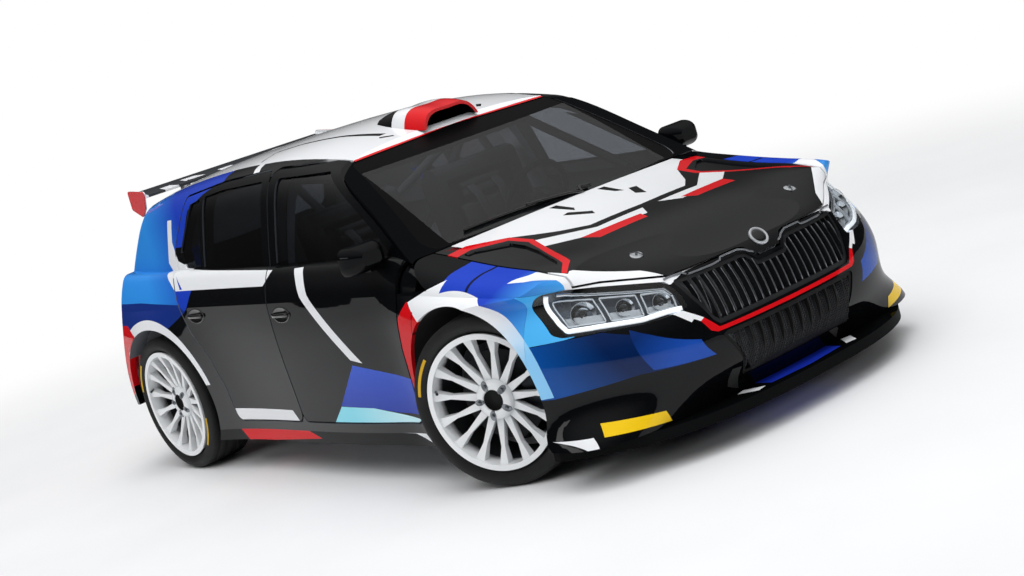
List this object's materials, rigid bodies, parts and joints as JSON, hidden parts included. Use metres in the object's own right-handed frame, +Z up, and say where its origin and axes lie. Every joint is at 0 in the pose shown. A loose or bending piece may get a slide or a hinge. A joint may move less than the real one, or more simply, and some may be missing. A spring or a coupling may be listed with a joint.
{
  "type": "five-door rally car",
  "caption": "Low five-door rally hatchback with flared arches, roof scoop, rear wing, opening doors, bonnet and tailgate, and steered wheels",
  "frame": {"origin": "on the ground at the middle of the overall length and width", "axes": "+X forwards, +Y to the car's left, +Z up"},
  "size_m": [3.9944, 1.9758, 1.3828],
  "materials": {
    "black_paint": "gloss black lacquer with stripes",
    "white_paint": "gloss white lacquer",
    "blue_paint": "gloss blue lacquer with white and red panels",
    "grey_paint": "satin dark grey paint",
    "cage_paint": "satin grey paint on steel tube",
    "black_plastic": "satin charcoal plastic and composite",
    "glass": "dark tinted glass",
    "lamp_glass": "clear lamp lens",
    "lamp_red": "red lamp lens",
    "rim": "white and silver lacquer",
    "tyre": "black rubber",
    "metal": "dark satin metal",
    "seat_fabric": "black woven seat cover"
  },
  "bodies": {
    "chassis": {"body_side_right": "black_paint", "body_side_left": "black_paint", "roof_panel": "white_paint", "windscreen": "glass", "floor_pan": "grey_paint", "cowl": "black_plastic", "front_wings": "blue_paint", "front_bumper": "black_paint", "front_liners": "black_plastic", "side_skirts": "black_plastic", "headlamps": "lamp_glass", "splitter": "black_plastic", "upper_grille": "black_plastic", "lower_grille": "black_plastic", "rear_bumper": "black_paint", "tail_lamps": "lamp_red", "roof_vent": "white_paint", "engine": "metal", "front_suspension": "metal", "rear_suspension": "metal", "driveshafts": "metal", "exhaust": "metal", "seats": "seat_fabric", "dashboard": "black_plastic", "steering_wheel": "cage_paint", "roll_cage": "cage_paint"},
    "bonnet": {"bonnet": "black_paint"},
    "tailgate": {"tailgate": "black_paint", "tailgate_glass": "glass", "rear_wing": "black_plastic"},
    "front_door_right": {"front_door_right": "black_paint", "front_door_glass_right": "glass", "mirror_right": "black_paint"},
    "rear_door_right": {"rear_door_right": "black_paint", "rear_door_glass_right": "glass"},
    "knuckle_right": {"knuckle_right": "metal"},
    "front_wheel_right": {"tyre_front_right": "tyre", "rim_front_right": "rim"},
    "rear_wheel_right": {"tyre_rear_right": "tyre", "rim_rear_right": "rim"},
    "front_door_left": {"front_door_left": "black_paint", "front_door_glass_left": "glass", "mirror_left": "black_paint"},
    "rear_door_left": {"rear_door_left": "black_paint", "rear_door_glass_left": "glass"},
    "knuckle_left": {"knuckle_left": "metal"},
    "front_wheel_left": {"tyre_front_left": "tyre", "rim_front_left": "rim"},
    "rear_wheel_left": {"tyre_rear_left": "tyre", "rim_rear_left": "rim"}
  },
  "joints": [
    {"name": "front_door_right_hinge", "type": "hinge", "parent": "chassis", "child": "front_door_right", "pos_m": [0.85992, -0.82905, 0.5], "axis": [0, 0, 1], "range_deg": [0, 65]},
    {"name": "rear_door_right_hinge", "type": "hinge", "parent": "chassis", "child": "rear_door_right", "pos_m": [-0.1308, -0.82905, 0.5], "axis": [0, 0, 1], "range_deg": [0, 65]},
    {"name": "front_door_left_hinge", "type": "hinge", "parent": "chassis", "child": "front_door_left", "pos_m": [0.85992, 0.82905, 0.5], "axis": [0, 0, -1], "range_deg": [0, 65]},
    {"name": "rear_door_left_hinge", "type": "hinge", "parent": "chassis", "child": "rear_door_left", "pos_m": [-0.1308, 0.82905, 0.5], "axis": [0, 0, -1], "range_deg": [0, 65]},
    {"name": "bonnet_hinge", "type": "hinge", "parent": "chassis", "child": "bonnet", "pos_m": [0.868, 0, 0.862], "axis": [0, -1, 0], "range_deg": [0, 60]},
    {"name": "tailgate_hinge", "type": "hinge", "parent": "chassis", "child": "tailgate", "pos_m": [-1.51367, 0, 1.292], "axis": [0, 1, 0], "range_deg": [0, 75]},
    {"name": "steer_right", "type": "hinge", "parent": "chassis", "child": "knuckle_right", "pos_m": [1.143, -0.7, 0.33], "axis": [0, 0, 1], "range_deg": [-52, 8]},
    {"name": "steer_left", "type": "hinge", "parent": "chassis", "child": "knuckle_left", "pos_m": [1.143, 0.7, 0.33], "axis": [0, 0, 1], "range_deg": [-52, 8]},
    {"name": "front_wheel_right_spin", "type": "hinge", "parent": "knuckle_right", "child": "front_wheel_right", "pos_m": [1.17013, -0.76615, 0.33], "axis": [-0.3795, 0.9252, 0], "continuous": true},
    {"name": "rear_wheel_right_spin", "type": "hinge", "parent": "chassis", "child": "rear_wheel_right", "pos_m": [-1.327, -0.7715, 0.33], "axis": [0, 1, 0], "continuous": true},
    {"name": "front_wheel_left_spin", "type": "hinge", "parent": "knuckle_left", "child": "front_wheel_left", "pos_m": [1.11587, 0.76615, 0.33], "axis": [-0.3795, 0.9252, 0], "continuous": true},
    {"name": "rear_wheel_left_spin", "type": "hinge", "parent": "chassis", "child": "rear_wheel_left", "pos_m": [-1.327, 0.7715, 0.33], "axis": [0, 1, 0], "continuous": true}
  ],
  "couplings": [
    {"joint": "steer_left", "follows": "steer_right", "ratio": 1}
  ]
}
